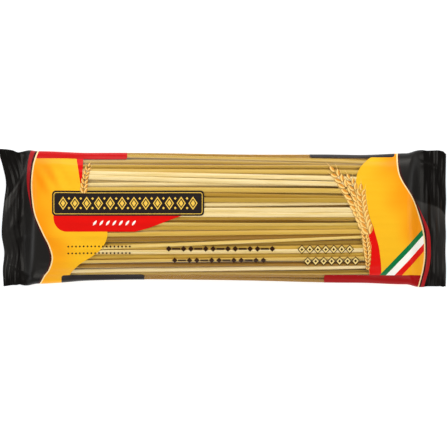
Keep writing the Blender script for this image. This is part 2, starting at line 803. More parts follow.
# %% [markdown]
# Towards the ends the printed film is stiffer and stands off the strands. There it has only long,
# shallow diagonal waves. Noise could make them, but two crossed sine waves give the even look of
# pulled film, and they always stand outwards, so that no strand comes through.

# %% Waves in the printed film
END_WAVES = [
    # slope along x, slope along s, reach, height, shift
    (0.75, 0.66, 3.1, 1.0, 0.0),
    (0.4, 0.9, 2.3, 0.8, 1.0),
]
LEFT_WAVE_HEIGHT = 0.22
RIGHT_WAVE_HEIGHT = 0.08


def soft_waves(x, s):
    near_end = ease(np.abs(x), 88, 102) * (1 - ease(np.abs(x), 116, 130)) * (1 - ease(np.abs(s), 34, 50))
    waves = np.zeros(len(x))
    for along_x, along_s, reach, height, shift in END_WAVES:
        waves += height * (1 + np.sin((x * along_x + s * along_s) / reach + shift))
    return np.where(x < 0, LEFT_WAVE_HEIGHT, RIGHT_WAVE_HEIGHT) * waves * near_end


def film_lift(x, s):
    return strand_relief(x, s) + soft_waves(x, s)


print(len(END_WAVES), "crossed waves in the printed ends")

# %% [markdown]
# ## The print
# A picture wrapped round the packet would be the usual way. Here the print is drawn on the flat film
# as closed outlines, which stay sharp from close up and can each have a gloss of their own. A later
# one lies over an earlier one. What no outline covers stays clear: that is the window. The borders
# between the fields run right round the film, so each is a smooth function of s.

# %% Borders of the colour fields
def border(points):
    """A smooth border through (s, x) points, from the seam on one side round the front to the other."""
    s_values = np.array([s for s, _ in points])
    x_values = np.array([x for _, x in points])

    def x_at(s):
        s = np.asarray(s, float)
        place = np.interp(s, s_values, np.arange(len(points)))
        first = np.minimum(place.astype(int), len(points) - 2)
        before, after = np.maximum(first - 1, 0), np.minimum(first + 2, len(points) - 1)
        gap = s_values[first + 1] - s_values[first]
        start_slope = (x_values[first + 1] - x_values[before]) / (s_values[first + 1] - s_values[before])
        end_slope = (x_values[after] - x_values[first]) / (s_values[after] - s_values[first])
        t = (s - s_values[first]) / gap
        return (
            (1 + 2 * t) * (1 - t) ** 2 * x_values[first]
            + t * (1 - t) ** 2 * gap * start_slope
            + t**2 * (3 - 2 * t) * x_values[first + 1]
            + t**2 * (t - 1) * gap * end_slope
        )

    return x_at


left_dark_edge = border([
    (-94, -126), (-70, -128), (-56, -127), (-48, -123.9), (-38.6, -119.9), (-34.3, -116.7),
    (-26.2, -114.4), (-17.7, -116.7), (-11.2, -120.1), (1.7, -125.9), (11.9, -127.9),
    (21.7, -128.6), (33.9, -127.3), (39.9, -125.9), (47, -124.2), (58, -122.5), (74, -124), (94, -126),
])
right_dark_edge = border([
    (-94, 126), (-74, 127), (-58, 129.5), (-42.5, 133.7), (-33.9, 136.1), (-24.2, 137.5),
    (-10.6, 136.8), (-0.6, 134.4), (11.6, 129.3), (24.8, 121.1), (32, 118.8), (44.2, 118.4),
    (58, 120.5), (76, 124.5), (94, 126),
])
left_window_edge = border([
    (-94, -97), (-86, -97.2), (-74, -98.5), (-56, -103.5), (-39.3, -103.5), (-31.4, -97.5),
    (-24.2, -86), (-19.7, -81.2), (-14.1, -78), (-8.9, -77.6), (-1.3, -80.5), (8.5, -88),
    (17.6, -94.1), (23.2, -95.9), (32.6, -97.5), (39.3, -98.5), (58, -99.5), (74, -98),
    (86, -97.2), (94, -97),
])
right_window_edge = border([
    (-94, 97), (-86, 97.6), (-74, 100), (-56, 105.5), (-36.9, 107.9), (-20.7, 106.4),
    (-10.7, 103.8), (-4.4, 101.7), (9.6, 94.8), (18.5, 91.1), (27.6, 91.2), (33.6, 93.8),
    (38.5, 98.2), (43.3, 102.8), (50, 106), (60, 105), (76, 99), (86, 97.6), (94, 97),
])
print("dark edges at the middle:", float(left_dark_edge(0)), float(right_dark_edge(0)))

# %% [markdown]
# The inks are kept in one table by name, and a face gets the ink of the topmost outline over it.
# Beside the dark ends the yellow deepens to orange, which is a smooth change and so is worked out
# for each corner rather than drawn. The dark inks are varnished: their gloss is kept with them.

# %% Inks
INKS = {
    "charcoal": (0.0018, 0.0012, 0.0010),
    "yellow": (0.96, 0.52, 0.017),
    "orange": (0.97, 0.28, 0.003),
    "cream": (1.0, 0.78, 0.42),
    "maroon": (0.045, 0.006, 0.007),
    "rose": (0.40, 0.014, 0.018),
    "red": (0.78, 0.006, 0.004),
    "strip red": (0.36, 0.002, 0.003),
    "upper red": (0.56, 0.004, 0.005),
    "plate": (0.018, 0.013, 0.013),
    "gold line": (0.95, 0.62, 0.10),
    "green": (0.003, 0.19, 0.055),
    "white": (1.0, 1.0, 0.97),
    "grain": (0.78, 0.32, 0.040),
    "grain light": (0.97, 0.66, 0.22),
    "grain dark": (0.33, 0.11, 0.015),
    "dark brown": (0.035, 0.012, 0.005),
    "pale gold": (0.86, 0.66, 0.25),
}
VARNISHED = {"charcoal", "plate", "maroon"}
outlines = []


def draw(ink, points):
    """Adds a closed outline of (x, s) points in an ink, over what was drawn before."""
    points = [(float(x), float(s)) for x, s in points]
    doubled_area = sum(x1 * s2 - x2 * s1 for (x1, s1), (x2, s2) in zip(points, points[1:] + points[:1]))
    outlines.append((ink, points if doubled_area > 0 else points[::-1]))


print(len(INKS), "inks,", len(VARNISHED), "of them varnished")

# %% [markdown]
# The yellow fields lie between the dark ends and the window. Each could be an outline of its own, but
# then neighbours would have to be matched by eye. Going along one border and back along the other
# gives a field that fits both exactly.

# %% Colour fields
BORDER_STEP = 1.0
SEAM_S = FLAT_WIDTH


def s_run(low, high):
    count = max(2, int(abs(high - low) / BORDER_STEP) + 1)
    return np.linspace(low, high, count)


def band(ink, low_edge, high_edge, low_s=-SEAM_S, high_s=SEAM_S):
    """A field of ink between two borders, from low_s to high_s."""
    run = s_run(low_s, high_s)
    there = [(x, s) for x, s in zip(low_edge(run), run)]
    back = [(x, s) for x, s in zip(high_edge(run[::-1]), run[::-1])]
    draw(ink, there + back)


def beside(edge, offset):
    return lambda s: edge(s) + offset


def constant(x):
    return lambda s: np.full(np.shape(s), float(x))


band("yellow", left_dark_edge, left_window_edge)
band("yellow", right_window_edge, right_dark_edge)
print(len(outlines), "fields")

# %% [markdown]
# A red sliver runs down beside each end of the window, thinning to a point. It is the space between
# the window's border and a steeper line, so it needs no outline of its own either.

# %% Red slivers beside the window
def left_sliver_edge(s):
    return np.maximum(left_window_edge(s), mix(-94.9, -94.1, ease(s, 20.0, 39.0)))


def right_sliver_edge(s):
    return np.minimum(right_window_edge(s), mix(99.8, 99.2, ease(s, -38.0, -6.0)))


band("red", left_window_edge, left_sliver_edge, 20.5, 44.0)
band("red", right_sliver_edge, right_window_edge, -44.0, -3.5)
print(len(outlines), "outlines with the slivers")

# %% [markdown]
# Most small shapes in the print are rounded boxes and lozenges. They could be drawn as curves and
# moved about, but a function that gives a shape's points takes its place and size at once.

# %% Boxes and lozenges
def rounded_box(low_x, high_x, low_s, high_s, radius, steps=5):
    points = []
    corners = [(high_x, high_s, 0), (low_x, high_s, 90), (low_x, low_s, 180), (high_x, low_s, 270)]
    for corner_x, corner_s, start in corners:
        centre_x = corner_x - math.copysign(radius, corner_x - (low_x + high_x) / 2)
        centre_s = corner_s - math.copysign(radius, corner_s - (low_s + high_s) / 2)
        for i in range(steps + 1):
            angle = math.radians(start + 90 * i / steps)
            points.append((centre_x + radius * math.cos(angle), centre_s + radius * math.sin(angle)))
    return points


def lozenge(centre_x, centre_s, half_length, half_height):
    return [
        (centre_x + half_length, centre_s), (centre_x, centre_s + half_height),
        (centre_x - half_length, centre_s), (centre_x, centre_s - half_height),
    ]


def draw_lozenges(centre_x, centre_s, layers):
    """Lozenges one inside the other: each layer has an ink, a half length and a half height."""
    for ink, half_length, half_height in layers:
        draw(ink, lozenge(centre_x, centre_s, half_length, half_height))


print("points on a rounded box:", len(rounded_box(0, 10, 0, 5, radius=1)))

# %% [markdown]
# The front carries a dark plate with rounded corners, and a red tab that hangs from it and sweeps up
# to a point. Plain ornament fills the plate: a thin gold line and a row of lozenges. The line is a
# gold box with a dark one in it, as a printer lays one ink over another.

# %% The front plate and its tab
PLATE_LOW_X, PLATE_HIGH_X = -115.0, -12.1
PLATE_LOW_S, PLATE_HIGH_S = 1.2, 17.5
PLATE_MIDDLE_S = (PLATE_LOW_S + PLATE_HIGH_S) / 2
TAB_LOW_S = -9.1
TAB_RADIUS = 9.0
TAB_SWEEP = (-59.0, -24.0)
LOZENGES = 12
FRIEZE_INSET = 7.5
PLATE_LOZENGE = [("gold line", 3.1, 4.3), ("plate", 2.3, 3.2), ("gold line", 1.5, 2.1)]
SMALL_LOZENGE = [("gold line", 0.9, 0.9)]
SMALL_ASIDE = 3.1


def tab_outline():
    """A red tab: square top under the plate, a round left corner, and a sweep up to the right."""
    low_x, high_s = PLATE_LOW_X + 1.0, PLATE_LOW_S + 1.0
    centre_x, centre_s = low_x + TAB_RADIUS, TAB_LOW_S + TAB_RADIUS
    points = [(low_x, high_s)]
    for i in range(9):
        angle = math.radians(180 + 90 * i / 8)
        points.append((centre_x + TAB_RADIUS * math.cos(angle), centre_s + TAB_RADIUS * math.sin(angle)))
    for i in range(15):
        share = i / 14
        height = share**0.85 * (0.35 + 0.65 * share * (2 - share))
        points.append((mix(*TAB_SWEEP, share), mix(TAB_LOW_S, high_s, height)))
    return points


def keyline(low_x, high_x, low_s, high_s, radius, inset, width):
    """A thin frame inside a plate."""
    draw("gold line", rounded_box(low_x + inset, high_x - inset, low_s + inset, high_s - inset, radius))
    inner = inset + width
    draw("plate", rounded_box(low_x + inner, high_x - inner, low_s + inner, high_s - inner, radius - width))


def draw_frieze():
    """A row of lozenges along the plate, with two small ones in each gap."""
    places = np.linspace(PLATE_LOW_X + FRIEZE_INSET, PLATE_HIGH_X - FRIEZE_INSET, LOZENGES)
    for middle_x in places:
        draw_lozenges(middle_x, PLATE_MIDDLE_S, PLATE_LOZENGE)
    for gap_x in (places[1:] + places[:-1]) / 2:
        for aside in (SMALL_ASIDE, -SMALL_ASIDE):
            draw_lozenges(gap_x, PLATE_MIDDLE_S + aside, SMALL_LOZENGE)


draw("red", tab_outline())
draw("plate", rounded_box(PLATE_LOW_X, PLATE_HIGH_X, PLATE_LOW_S, PLATE_HIGH_S, radius=2.5))
keyline(PLATE_LOW_X, PLATE_HIGH_X, PLATE_LOW_S, PLATE_HIGH_S, radius=1.7, inset=1.1, width=0.4)
draw_frieze()
print(len(outlines), "outlines with the front plate")

# %% [markdown]
# Each side carries a smaller plate at one end and a red strip at the other, turned about, so that both
# sides look the same from outside. They wrap round the fold by themselves, because everything is
# drawn flat. The strip along the lower side comes later, with the ribbon.

# %% Plates and strip at the sides
SIDE_FIELDS = [
    # ink, low x, high x, low s, high s, corner radius
    ("upper red", -126.6, -64.3, 39.3, 52.5, 1.5),
    ("plate", 59.5, 117.1, 41.2, 54.0, 2.0),
    ("plate", -108.9, -52.7, -51.0, -38.2, 2.0),
]
for ink, *sides in SIDE_FIELDS:
    draw(ink, rounded_box(*sides))
print(len(outlines), "outlines with the sides")

# %% [markdown]
# Smaller ornaments run in plain rows: dark lozenges and bars on the clear film, gold lozenges with a
# dark rim beside them, fine dots near the left end and white grains on the tab. Nodes could scatter
# them, but they are ink and have to be outlines like the rest, so loops draw them.

# %% Rows of small ornaments
DARK_LOZENGE = [("dark brown", 1.9, 1.9)]
OUTLINED_LOZENGE = [("dark brown", 2.9, 3.1), ("pale gold", 2.2, 2.4), ("dark brown", 0.95, 1.05)]
DOT = [("dark brown", 0.75, 0.75)]
BAR_HALF_HEIGHT = 0.55
# rows as s, low x, high x and distance between places
BAR_ROWS = [(-20.2, -35.0, 35.1, 5.0), (-27.8, -31.0, 31.1, 5.0)]
OUTLINED_ROWS = [(-20.6, 54.0, 91.0, 5.4), (-28.4, 58.0, 91.0, 5.4)]
DOT_ROWS = [(-18.7, -104.0, -60.0, 2.6), (-23.2, -104.0, -60.0, 2.6)]
GRAIN_ROW = (-3.4, -86.0, -59.0, 4.4)


def grain_outline(centre_x, centre_s, angle, length, width, steps=5):
    points = []
    for side in (1, -1):
        for i in range(steps):
            share = i / steps if side > 0 else 1 - i / steps
            bulge = side * width / 2 * math.sin(math.pi * share) ** 0.8
            reach = (share - 0.5) * length
            points.append((
                centre_x + reach * math.cos(angle) - bulge * math.sin(angle),
                centre_s + reach * math.sin(angle) + bulge * math.cos(angle),
            ))
    return points


def draw_bar(low_x, high_x, s):
    draw("dark brown", rounded_box(low_x, high_x, s - BAR_HALF_HEIGHT, s + BAR_HALF_HEIGHT, 0.5, 2))


for row_s, *run in BAR_ROWS:
    for number, place in enumerate(np.arange(*run)):
        if number % 3 == 1:
            draw_bar(place - 3.9, place + 1.9, row_s)
        else:
            draw_lozenges(place - 1.0, row_s, DARK_LOZENGE)
for rows, layers in ((OUTLINED_ROWS, OUTLINED_LOZENGE), (DOT_ROWS, DOT)):
    for row_s, *run in rows:
        for place in np.arange(*run):
            draw_lozenges(place, row_s, layers)
for place in np.arange(*GRAIN_ROW[1:]):
    draw("white", grain_outline(place, GRAIN_ROW[0], angle=0.9, length=4.2, width=1.5))
print(len(outlines), "outlines with the rows")

# %% [markdown]
# A tricolour ribbon crosses the yellow field at 46 degrees, and a red strip runs along the fold below
# it. Drawn straight on flat film, their edges would look bent once the film curves down to its fold.
# So they are laid out backwards: for each point of an edge that looks straight from above, the wrap
# table gives its place on the flat film.

# %% Ribbon
FRONT_REACH = 45.0
RIBBON_START = (107.9, -37.7)
RIBBON_ANGLE = math.radians(46.4)
RIBBON_BANDS = [("green", 3.2), ("white", 4.2), ("red", 3.7)]
RIBBON_REACH = np.linspace(-8.0, 47.0, 56)


def s_seen_at(x, y):
    """The place on the flat front, for each x, that is seen at y once the film is wrapped."""
    front = np.abs(table_s) < FRONT_REACH
    rows = np.round((np.asarray(x) - table_x[0]) / (table_x[1] - table_x[0])).astype(int)
    found = []
    for row, one_y in zip(rows, y):
        seen = wrap_table[row, front, 0]
        past_the_fold = one_y - np.clip(one_y, seen[0], seen[-1])
        found.append(np.interp(one_y, seen, table_s[front]) + past_the_fold)
    return found


def draw_ribbon():
    along = (math.cos(RIBBON_ANGLE), math.sin(RIBBON_ANGLE))
    across = (along[1], -along[0])
    offset = 0.0
    for ink, width in RIBBON_BANDS:
        sides = []
        for aside in (offset, offset + width):
            x = RIBBON_START[0] + along[0] * RIBBON_REACH + across[0] * aside
            y = RIBBON_START[1] + along[1] * RIBBON_REACH + across[1] * aside
            sides.append(list(zip(x, s_seen_at(x, y))))
        draw(ink, sides[0] + sides[1][::-1])
        offset += width


def straight_strip(ink, low_x, high_x, top_y, low_s):
    """A strip whose upper edge looks straight from above, with one rounded corner."""
    x = np.concatenate([[low_x, low_x + 0.4], np.arange(low_x + 1.5, high_x, 1.0)])
    y = np.full(len(x), top_y)
    y[:2] -= (1.2, 0.3)
    draw(ink, [(high_x, low_s), *zip(x[::-1], s_seen_at(x, y)[::-1]), (low_x, low_s)])


draw_ribbon()
straight_strip("strip red", low_x=69.2, high_x=137.0, top_y=-39.0, low_s=-50.0)
print(len(outlines), "outlines with the ribbon")

# %% [markdown]
# Over everything at the ends lie the dark fields, with a red band, a maroon line and a cream line
# along their edge. The red band swells along the border and tapers away round the side. Each ink
# runs a little under the next one, as printers do it, so that no gap can open between them. Both
# ends are one function, turned about.

# %% Dark ends and their edge lines
CREAM_WIDTH = 0.9
MAROON_WIDTH = 1.3
LINES_WIDTH = CREAM_WIDTH + MAROON_WIDTH
LINE_UNDERLAP = 0.5
ROSE_UNDERLAP = 0.3
ROSE_TAPER = (50.0, 70.0)


def draw_dark_end(end, edge, rose_width, thin_s, full_s):
    """One end's lines, red band and dark field. The band swells from thin_s to full_s."""

    def rose_edge(s):
        swell = ease(-end * s, thin_s, full_s) - ease(-end * s, *ROSE_TAPER)
        return edge(s) + end * (LINES_WIDTH + rose_width * swell)

    def strip(ink, inner_edge, outer_edge, *s_range):
        sides = (inner_edge, outer_edge) if end > 0 else (outer_edge, inner_edge)
        band(ink, *sides, *s_range)

    rose_range = sorted((-end * thin_s, -end * ROSE_TAPER[1]))
    strip("cream", edge, beside(edge, end * (CREAM_WIDTH + LINE_UNDERLAP)))
    strip("maroon", beside(edge, end * CREAM_WIDTH), beside(edge, end * (LINES_WIDTH + LINE_UNDERLAP)))
    strip("rose", beside(edge, end * LINES_WIDTH), beside(rose_edge, end * ROSE_UNDERLAP), *rose_range)
    strip("charcoal", rose_edge, constant(end * PACK_HALF))


draw_dark_end(-1, left_dark_edge, rose_width=2.8, thin_s=2.0, full_s=30.0)
draw_dark_end(1, right_dark_edge, rose_width=2.5, thin_s=-12.0, full_s=10.0)
print(len(outlines), "outlines with the dark ends")

# %% [markdown]
# Ears of wheat are a common ornament on pasta. These are plain ones of this lesson's own drawing:
# pairs of plump grains along a bent line, smaller towards the tip, each a pale husk with a dark rim
# and a golden heart. Stiff hairs stand off the upper grains, and one short stem ends the lowest ear.
# One function draws any ear, so that each takes a line in a table.

# %% Ears of wheat
EARS = [
    # base, tip, bend, pairs of grains, grain length, how slim the lowest grains are
    ((98.8, -33.5), (95.5, -7.0), -1.0, 10, 5.2, 0.45),
    ((96.5, -5.0), (74.5, 32.0), -1.5, 10, 7.6, 1.0),
    ((95.0, 1.0), (85.5, 27.0), -0.8, 7, 6.6, 1.0),
    ((98.5, -8.0), (94.0, 20.0), 1.2, 8, 7.0, 1.0),
    ((-93.5, 17.8), (-90.0, 35.0), 0.8, 6, 4.4, 1.0),
]
HUSK_RIM = 0.5
AWN_HALF_WIDTH = 0.16
AWN_SPLAY = 0.3
GRAIN_SPLAY = 0.48
GRAIN_PLUMPNESS = 0.42
TIP_SLIMMING = 0.3


def draw_grain(centre_x, centre_s, angle, length, width):
    """A plump grain: a dark rim, a pale husk and a golden heart set to one side."""
    draw("grain dark", grain_outline(centre_x, centre_s, angle, length + HUSK_RIM, width + HUSK_RIM))
    draw("grain light", grain_outline(centre_x, centre_s, angle, length, width))
    heart_x = centre_x + 0.22 * width * math.sin(angle)
    heart_s = centre_s - 0.22 * width * math.cos(angle)
    draw("grain", grain_outline(heart_x, heart_s, angle, length * 0.74, width * 0.5, 4))


def draw_awn(from_x, from_s, angle, length):
    """A stiff hair on an ear, from a grain's tip."""
    half = AWN_HALF_WIDTH
    draw("grain light", [
        (from_x - half * math.sin(angle), from_s + half * math.cos(angle)),
        (from_x + half * math.sin(angle), from_s - half * math.cos(angle)),
        (from_x + length * math.cos(angle), from_s + length * math.sin(angle)),
    ])


def draw_ear(base, tip, bend, pairs, grain_length, slim_base):
    """An ear from base to tip, bowed sideways by bend, with its grains thinning towards the tip."""
    run_x, run_s = tip[0] - base[0], tip[1] - base[1]
    length = math.hypot(run_x, run_s)
    for i in range(pairs, -1, -1):
        share = i / pairs
        bow = bend * 4 * share * (1 - share)
        centre_x = base[0] + run_x * share - run_s / length * bow
        centre_s = base[1] + run_s * share + run_x / length * bow
        heading = math.atan2(run_s, run_x) + math.atan(bend * 4 * (1 - 2 * share) / length)
        grain = grain_length * (1 - TIP_SLIMMING * share) * mix(slim_base, 1.0, min(1.0, 2.5 * share))
        for side in (0,) if i == pairs else (1, -1):
            angle = heading + side * GRAIN_SPLAY
            middle_x = centre_x - side * math.sin(heading) * grain * 0.3
            middle_s = centre_s + side * math.cos(heading) * grain * 0.3
            tip_x = middle_x + grain * 0.45 * math.cos(angle)
            tip_s = middle_s + grain * 0.45 * math.sin(angle)
            if i > pairs / 3:
                draw_awn(tip_x, tip_s, heading + side * AWN_SPLAY, grain * 0.8)
            draw_grain(middle_x, middle_s, angle, grain, grain * GRAIN_PLUMPNESS)


draw_awn(98.8, -32.0, math.radians(-78), 6.5)
for ear in EARS:
    draw_ear(*ear)
print(len(outlines), "outlines in all")

# %% [markdown]
# ## From outlines to film
# The flat film becomes a mesh whose points are close enough to show every strand, and closer still in
# the crimped seals. An even grid could do, but it would be too fine where little happens. So there
# are three nets, one for each kind of place, and the outlines get extra points of their own.

# %% A net of points over the flat film
BODY_STEP_X, BODY_STEP_S = 2.3, 0.62
TAPER_STEP_X, TAPER_COLUMNS = 0.9, 208
SEAL_STEP_X, SEAL_COLUMNS = 0.45, 188


def net_points():
    """Grid points: wide steps along the pasta, fine ones in the closing ends and the seals."""
    points = []
    body_half = CLOSING_START - 1.0
    body_rows = np.linspace(-body_half, body_half, int(2 * body_half / BODY_STEP_X))
    taper_rows = np.arange(CLOSING_START, SEAL_START - 0.3, TAPER_STEP_X)
    seal_rows = np.linspace(SEAL_START, PACK_HALF, int(SEAL_WIDTH / SEAL_STEP_X) + 1)
    body_columns = np.linspace(-SEAM_S, SEAM_S, int(GIRTH / BODY_STEP_S) // 4 * 4 + 1)
    taper_columns = np.linspace(-SEAM_S, SEAM_S, TAPER_COLUMNS + 1)
    seal_columns = np.linspace(-SEAM_S, SEAM_S, SEAL_COLUMNS + 1)
    for rows, columns in (
        (body_rows, body_columns),
        (np.concatenate([-taper_rows, taper_rows]), taper_columns),
        (np.concatenate([-seal_rows, seal_rows]), seal_columns),
    ):
        grid_x, grid_s = np.meshgrid(rows, columns, indexing="ij")
        points.append(np.stack([grid_x.ravel(), grid_s.ravel()], axis=1))
    return np.concatenate(points)


def resample(points, step):
    """A closed outline with extra points, so that no edge is longer than step."""
    result = []
    for (x1, s1), (x2, s2) in zip(points, points[1:] + points[:1]):
        count = max(1, math.ceil(math.hypot(x2 - x1, s2 - s1) / step))
        result.extend((mix(x1, x2, i / count), mix(s1, s2, i / count)) for i in range(count))
    return result


net = net_points()
print("net:", len(net), "points")

# %% [markdown]
# Blender's constrained triangulation takes the points and all the outlines, and gives triangles that
# never cross an outline, with a list of the outlines that each one lies in. The outline drawn last is
# the ink on top. Cutting a finished mesh with each outline would do the same, slowly and with ragged
# edges. Net points keep off the outlines a little, as thin triangles would crease the film.

# %% Triangles that follow the print
OUTLINE_STEP = 1.2
KEEP_OFF = 0.3
TOUCHING = 1e-5
ON_RIM = 1e-6


def triangulate_film():
    """Triangles over the whole flat film, and the ink of each: None where the film is clear."""
    points, loops = [], []
    for _, outline in outlines:
        dense = resample(outline, OUTLINE_STEP)
        loops.append(list(range(len(points), len(points) + len(dense))))
        points.extend(dense)
    tree = KDTree(len(points))
    for i, (x, s) in enumerate(points):
        tree.insert((x, s, 0.0), i)
    tree.balance()
    for x, s in net:
        on_rim = abs(abs(x) - PACK_HALF) < ON_RIM or abs(abs(s) - SEAM_S) < ON_RIM
        if on_rim or tree.find((x, s, 0.0))[2] > KEEP_OFF:
            points.append((float(x), float(s)))
    vectors = [Vector(point) for point in points]
    flat, _, faces, _, _, inside = delaunay_2d_cdt(vectors, [], loops, 0, TOUCHING, True)
    inks = [outlines[max(held)][0] if held else None for held in inside]
    return np.array([(p.x, p.y) for p in flat]), faces, inks


flat_points, film_faces, face_inks = triangulate_film()
print("film:", len(flat_points), "points,", len(film_faces), "triangles")


def print_ink_areas():
    areas = {}
    for face, ink in zip(film_faces, face_inks):
        (x1, s1), (x2, s2), (x3, s3) = flat_points[face]
        area = abs((x2 - x1) * (s3 - s1) - (x3 - x1) * (s2 - s1)) / 200
        areas[ink or "clear"] = areas.get(ink or "clear", 0.0) + area
    print("areas in square centimetres:", {ink: round(area, 1) for ink, area in areas.items()})


print_ink_areas()

# %% [markdown]
# The flat film is wrapped now, and at each end a thin cap closes the front onto the back along the cut
# edge. Filling the open end as a hole would give one flat face over a wavy edge, so the cap goes from
# each point of the front to the one under it. Every point keeps its flat place too, as the colours
# and the flat map of the film are worked out from it.

# %% Wrap the film and close its ends
MAP_MARGIN = 0.01
TUBE_SHARE = 0.96
CAP_EDGES = (0.498, 0.493)
film_parts = {"places": [], "flat": [], "map": [], "faces": [], "inks": []}


def add_part(places, flat, flat_map, faces, inks):
    first = sum(len(part) for part in film_parts["places"])
    film_parts["places"].append(places)
    film_parts["flat"].append(flat)
    film_parts["map"].append(flat_map)
    film_parts["faces"].extend([first + point for point in face] for face in faces)
    film_parts["inks"].extend(inks)


def map_u(x):
    """Where x lies across the flat map of the film."""
    return MAP_MARGIN + (1 - 2 * MAP_MARGIN) * (0.5 + x / PACK_LENGTH)


def add_tube():
    x, s = flat_points.T
    flat_map = np.stack([map_u(x), TUBE_SHARE * (0.5 + s / GIRTH)], axis=1)
    add_part(wrap(x, s, film_lift(x, s)), flat_points, flat_map, film_faces, face_inks)


def add_end_cap(end):
    """Joins the front's cut edge to the back's at one end, point for point."""
    front = np.linspace(-FLAT_WIDTH / 2, FLAT_WIDTH / 2, SEAL_COLUMNS // 2 + 1)
    back = np.where(front < 0, -FLAT_WIDTH, FLAT_WIDTH) - front
    x = np.full(len(front), end * PACK_HALF)
    places = np.concatenate([wrap(x, edge, np.zeros(len(x))) for edge in (front, back)])
    flat = np.concatenate([np.stack([x, edge], axis=1) for edge in (front, back)])
    u = np.concatenate([np.full(len(x), 0.5 + end * share) for share in CAP_EDGES])
    flat_map = np.stack([u, TUBE_SHARE * (0.5 + np.tile(front, 2) / GIRTH)], axis=1)
    count = len(front)
    faces = []
    for i in range(count - 1):
        corners = [i, count + i, count + i + 1, i + 1]
        if i == 0:
            corners = [0, count + 1, 1]
        if i == count - 2:
            corners = [i, count + i, i + 1]
        faces.append(corners if end > 0 else corners[::-1])
    add_part(places, flat, flat_map, faces, ["charcoal"] * len(faces))


add_tube()
add_end_cap(1)
add_end_cap(-1)
print("tube and caps:", [len(part) for part in film_parts["places"]], "points")

# %% [markdown]
# On the back, one long edge of the film is sealed over the other in a lap, a band 12 mm wide with fine
# ribs and a free edge that curls a little. It could be part of the tube, wrapped once more, but as a
# thin strip laid on the back it can be even, whatever the print beside it does.

# %% Lay the lap seam
LAP_LOW, LAP_HIGH = -5.0, 7.0
LAP_STEP = 0.5
LAP_COLUMNS = 9
LAP_RISE = 0.17
RIB_HEIGHT, RIB_DISTANCE = 0.025, 2.0
CURL_HEIGHT, CURL_REACH = 0.05, 7.0
LAP_MAP_START = 0.97


def ink_along_lap(x):
    """The lap's ink at x, which follows the print beside the seam."""
    dark, clear = (left_dark_edge, left_window_edge) if x < 0 else (right_dark_edge, right_window_edge)
    reach = abs(x) - abs(float(dark(SEAM_S)))
    if reach > LINES_WIDTH:
        return "charcoal"
    if reach > CREAM_WIDTH:
        return "maroon"
    if reach > 0:
        return "cream"
    return "yellow" if abs(x) > abs(float(clear(SEAM_S))) else None


def add_lap():
    rows = np.linspace(-PACK_HALF + 0.4, PACK_HALF - 0.4, int(PACK_LENGTH / LAP_STEP))
    across = np.linspace(LAP_LOW, LAP_HIGH, LAP_COLUMNS)
    x, aside = (grid.ravel() for grid in np.meshgrid(rows, across, indexing="ij"))
    s = (2 * FLAT_WIDTH + aside) % GIRTH - FLAT_WIDTH
    ribs = RIB_HEIGHT * np.sin(2 * np.pi * x / RIB_DISTANCE)
    curl = CURL_HEIGHT * np.sin(x / CURL_REACH) * ease(aside, LAP_HIGH - 3, LAP_HIGH)
    share = (aside - LAP_LOW) / (LAP_HIGH - LAP_LOW)
    flat_map = np.stack([map_u(x), mix(LAP_MAP_START, 1.0, share)], axis=1)
    flat = np.stack([x, np.full(len(x), SEAM_S)], axis=1)
    faces, inks = [], []
    for row in range(len(rows) - 1):
        ink = ink_along_lap((rows[row] + rows[row + 1]) / 2)
        for column in range(LAP_COLUMNS - 1):
            corner = row * LAP_COLUMNS + column
            beyond = corner + LAP_COLUMNS
            faces.append([corner, beyond, beyond + 1, corner + 1])
            inks.append(ink)
    add_part(wrap(x, s, LAP_RISE + ribs + curl), flat, flat_map, faces, inks)


add_lap()
film_places = np.concatenate(film_parts["places"])
film_flat = np.concatenate(film_parts["flat"])
film_map = np.concatenate(film_parts["map"])
print("film parts:", [len(part) for part in film_parts["places"]], "points")

# %% [markdown]
# Two inks aren't even. The yellow deepens towards the dark ends. The dark ends are paler where the
# film lies plain than in the folds beside the seals, and a hazy arc crosses each one, brightest along
# its rim. The material could work this out, but the borders are known here, so the shade is worked
# out for every corner of every face and kept with it.

# %% Shades of the uneven inks
ORANGE_REACH = 22.0
ORANGE_SHARE = 0.8
PLAIN_HAZE = 0.011
ARC_HAZE = 0.028
ARC_FADE = 10.0
LEFT_FOLD_X, RIGHT_FOLD_X, FOLD_REACH = -139.0, 141.5, 3.2


def haze(x, s):
    """How much paler than its ink the dark end is."""
    left = x < 0
    arc = np.where(left, 33.0 + 1.4 * (x + 136.5), 12.5 - 0.0125 * (x - 129) ** 2)
    below = np.where(np.abs(s) < FLAT_WIDTH / 2, arc - s, -1.0)
    under_arc = ease(below, 0.0, 1.2)
    fold = np.exp(-((np.where(left, x - LEFT_FOLD_X, x - RIGHT_FOLD_X) / FOLD_REACH) ** 2))
    plain = np.maximum(under_arc, np.where(left, 0.0, 1 - ease(x, 134.0, 136.5)))
    on_front = ease(s, -44.0, -31.0) * (1 - ease(s, 47.0, 80.0))
    rim = np.exp(-np.maximum(below, 0) / ARC_FADE)
    return PLAIN_HAZE * plain * (1 - 0.9 * fold) * on_front + ARC_HAZE * under_arc * (1 - 0.6 * fold) * rim


def deepening(x, s):
    """How far the yellow has turned to orange, in soft waves and one fold near the left end."""
    reach = np.where(x < 0, x - left_dark_edge(s), right_dark_edge(s) - x)
    wave = 3.0 * np.sin(s / 8.0 + x / 11.0) + 2.0 * np.sin(s / 4.3 - x / 7.0)
    near_end = (1 - ease(reach + wave, 0.0, ORANGE_REACH)) * (1 - 0.4 * ease(-s, 12.0, 30.0))
    fold = np.sin((0.865 * x + 0.505 * s) / 1.4) * np.exp(-(((x + 115) / 11) ** 2) - ((s - 25) / 9) ** 2)
    return np.clip(ORANGE_SHARE * near_end + 0.32 * fold, 0, 1)


